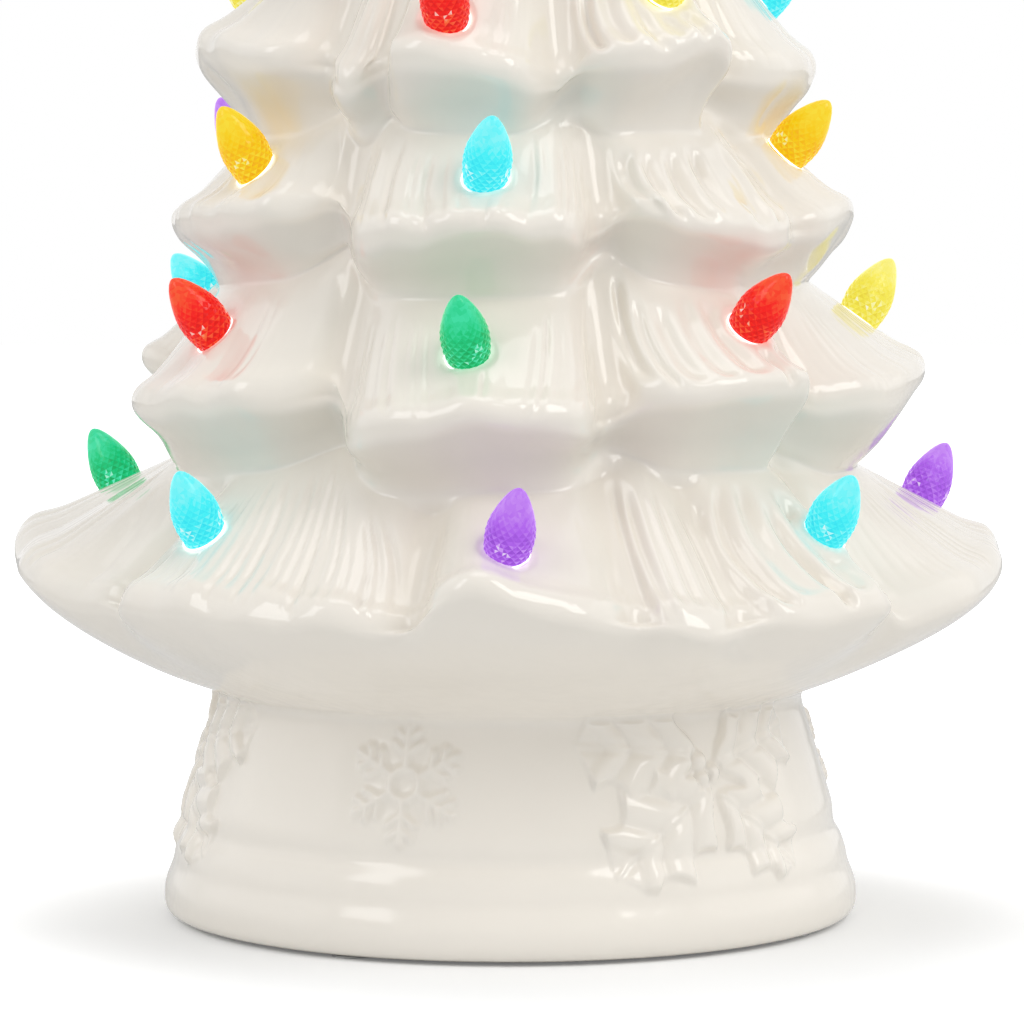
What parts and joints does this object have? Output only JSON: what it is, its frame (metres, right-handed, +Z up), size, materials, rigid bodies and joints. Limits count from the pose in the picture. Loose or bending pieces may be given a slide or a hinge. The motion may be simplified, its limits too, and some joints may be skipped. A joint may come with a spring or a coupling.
{
  "type": "lighted ceramic christmas tree",
  "caption": "White glazed ceramic tabletop christmas tree in leafy tiers, with coloured translucent lamps lit from inside, a star on top, and a battery bay under the foot.",
  "frame": {"origin": "on the table, under the middle of the foot", "axes": "+Z up along the tree, -Y towards the viewer of the picture, +X to the viewer's right"},
  "size_m": [0.2472, 0.2432, 0.3834],
  "materials": {
    "glaze": "gloss ivory glaze over slip-cast ceramic",
    "lamp_green": "clear tinted, faceted, lit from inside",
    "lamp_sky": "clear tinted, faceted, lit from inside",
    "lamp_violet": "clear tinted, faceted, lit from inside",
    "lamp_red": "clear tinted, faceted, lit from inside",
    "lamp_yellow": "clear tinted, faceted, lit from inside",
    "lamp_amber": "clear tinted, faceted, lit from inside",
    "star_clear": "clear tinted, lit from inside",
    "clear_silicone": "clear satin",
    "white_plastic": "satin moulded",
    "nickel": "bright nickel plate",
    "cell_jacket": "plain shrink jacket over a steel can",
    "black_plastic": "matt moulded",
    "board_green": "solder-masked circuit board",
    "post_plastic": "translucent white tube",
    "strip_white": "white strip with lit white LEDs",
    "wire_jacket": "satin insulated leads"
  },
  "bodies": {
    "tree": {"aa_cell_1": "cell_jacket", "aa_cell_2": "cell_jacket", "aa_cell_3": "cell_jacket", "bottom_cover": "white_plastic", "ceramic_casting": "glaze", "contact_link_back": "nickel", "contact_link_front": "nickel", "contact_minus": "nickel", "contact_plus": "nickel", "driver_board": "board_green", "foot_pad_1": "clear_silicone", "foot_pad_2": "clear_silicone", "foot_pad_3": "clear_silicone", "foot_pad_4": "clear_silicone", "lamp_1_1_green": "lamp_green", "lamp_1_2_sky": "lamp_sky", "lamp_1_3_violet": "lamp_violet", "lamp_1_4_sky": "lamp_sky", "lamp_1_5_violet": "lamp_violet", "lamp_1_6_red": "lamp_red", "lamp_1_7_amber": "lamp_amber", "lamp_1_8_yellow": "lamp_yellow", "lamp_2_1_sky": "lamp_sky", "lamp_2_2_red": "lamp_red", "lamp_2_3_green": "lamp_green", "lamp_2_4_red": "lamp_red", "lamp_2_5_yellow": "lamp_yellow", "lamp_2_6_amber": "lamp_amber", "lamp_2_7_violet": "lamp_violet", "lamp_3_1_violet": "lamp_violet", "lamp_3_2_amber": "lamp_amber", "lamp_3_3_sky": "lamp_sky", "lamp_3_4_amber": "lamp_amber", "lamp_3_5_green": "lamp_green", "lamp_3_6_red": "lamp_red", "lamp_4_1_yellow": "lamp_yellow", "lamp_4_2_red": "lamp_red", "lamp_4_3_yellow": "lamp_yellow", "lamp_4_4_sky": "lamp_sky", "lamp_4_5_violet": "lamp_violet", "lamp_5_1_sky": "lamp_sky", "lamp_5_2_green": "lamp_green", "lamp_5_3_red": "lamp_red", "lamp_5_4_amber": "lamp_amber", "lamp_5_5_violet": "lamp_violet", "lamp_6_1_amber": "lamp_amber", "lamp_6_2_violet": "lamp_violet", "lamp_6_3_green": "lamp_green", "lamp_6_4_red": "lamp_red", "lamp_7_1_red": "lamp_red", "lamp_7_2_sky": "lamp_sky", "lamp_7_3_yellow": "lamp_yellow", "led_strip": "strip_white", "light_post": "post_plastic", "switch_body": "black_plastic", "wire_harness": "wire_jacket"},
    "star": {"star_topper": "star_clear"},
    "door": {"battery_door": "white_plastic"},
    "screw": {"door_screw": "nickel"},
    "slider": {"switch_slider": "black_plastic"}
  },
  "joints": [
    {"name": "star_lift", "type": "slide", "parent": "tree", "child": "star", "axis": [0, 0, 1], "range_m": [0, 0.03]},
    {"name": "battery_door_hinge", "type": "hinge", "parent": "tree", "child": "door", "pos_m": [0, -0.03165, 0.0027], "axis": [-1, 0, 0], "range_deg": [0, 100]},
    {"name": "door_screw_turn", "type": "hinge", "parent": "door", "child": "screw", "pos_m": [0, 0.03639, 0.0016], "axis": [0, 0, 1], "continuous": true},
    {"name": "switch_slide", "type": "slide", "parent": "tree", "child": "slider", "axis": [0, -1, 0], "range_m": [0, 0.003]}
  ]
}
